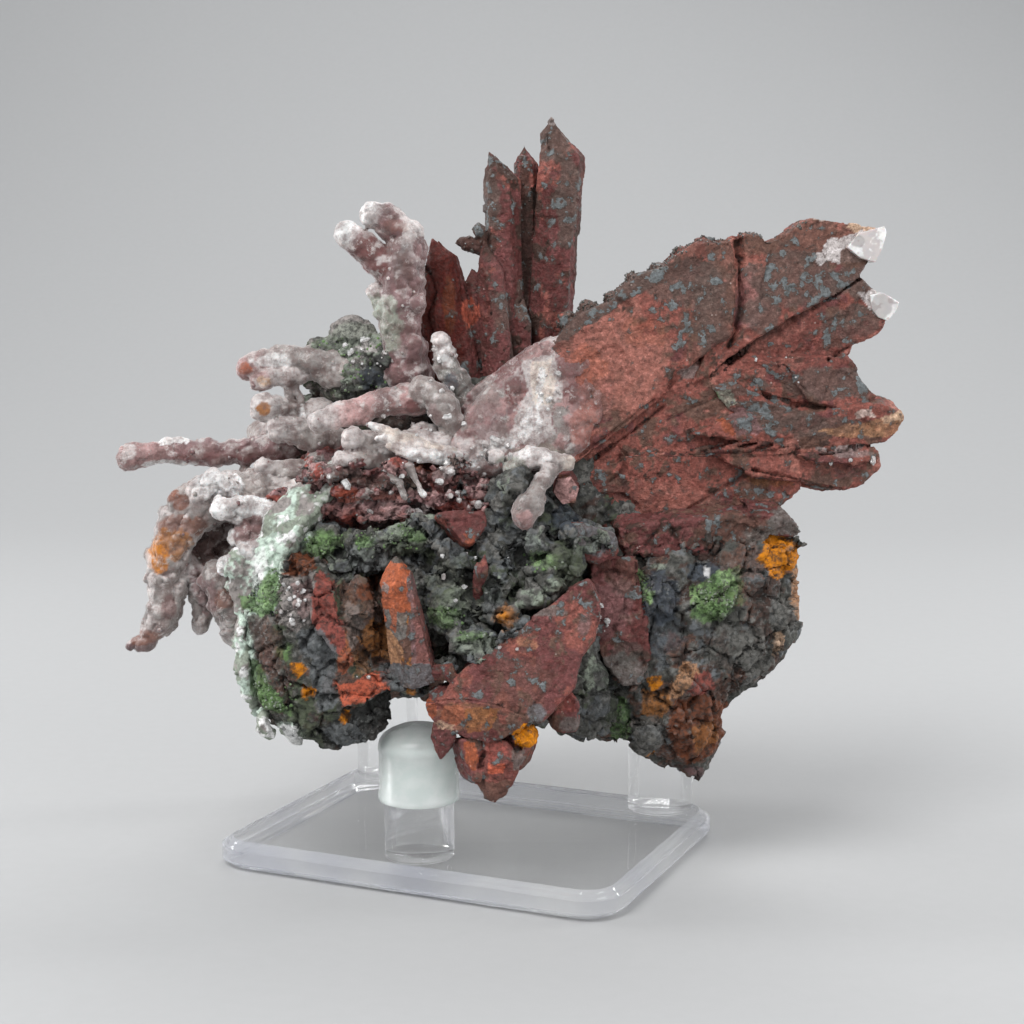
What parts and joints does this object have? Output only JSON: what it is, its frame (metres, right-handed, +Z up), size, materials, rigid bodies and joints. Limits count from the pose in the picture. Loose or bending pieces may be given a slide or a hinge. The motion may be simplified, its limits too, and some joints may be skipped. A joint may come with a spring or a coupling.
{
  "type": "quartz cluster on display stand",
  "caption": "Hematite-coated quartz cluster with flat blades, a broad fan of crystals, pale chalcedony fingers and dark matrix, resting on a clear post stand.",
  "frame": {"origin": "middle of the stand's underside, on the surface that it stands on", "axes": "+X to the right along the stone's display face, +Y away from whoever looks at that face, +Z up; the stand is turned 23.7 degrees clockwise under the stone"},
  "size_m": [0.1369, 0.0792, 0.1312],
  "materials": {
    "stone": "rough, red-brown hematite skin with grey specks, white to pink chalcedony, dark green and ochre matrix",
    "acrylic": "clear, polished, see-through",
    "silicone": "frosted, translucent, smooth"
  },
  "bodies": {
    "root": {"quartz_cluster": "stone", "stand_base": "acrylic", "post_front": "acrylic", "post_back_left": "acrylic", "post_back_right": "acrylic", "post_cap": "silicone"}
  },
  "joints": []
}
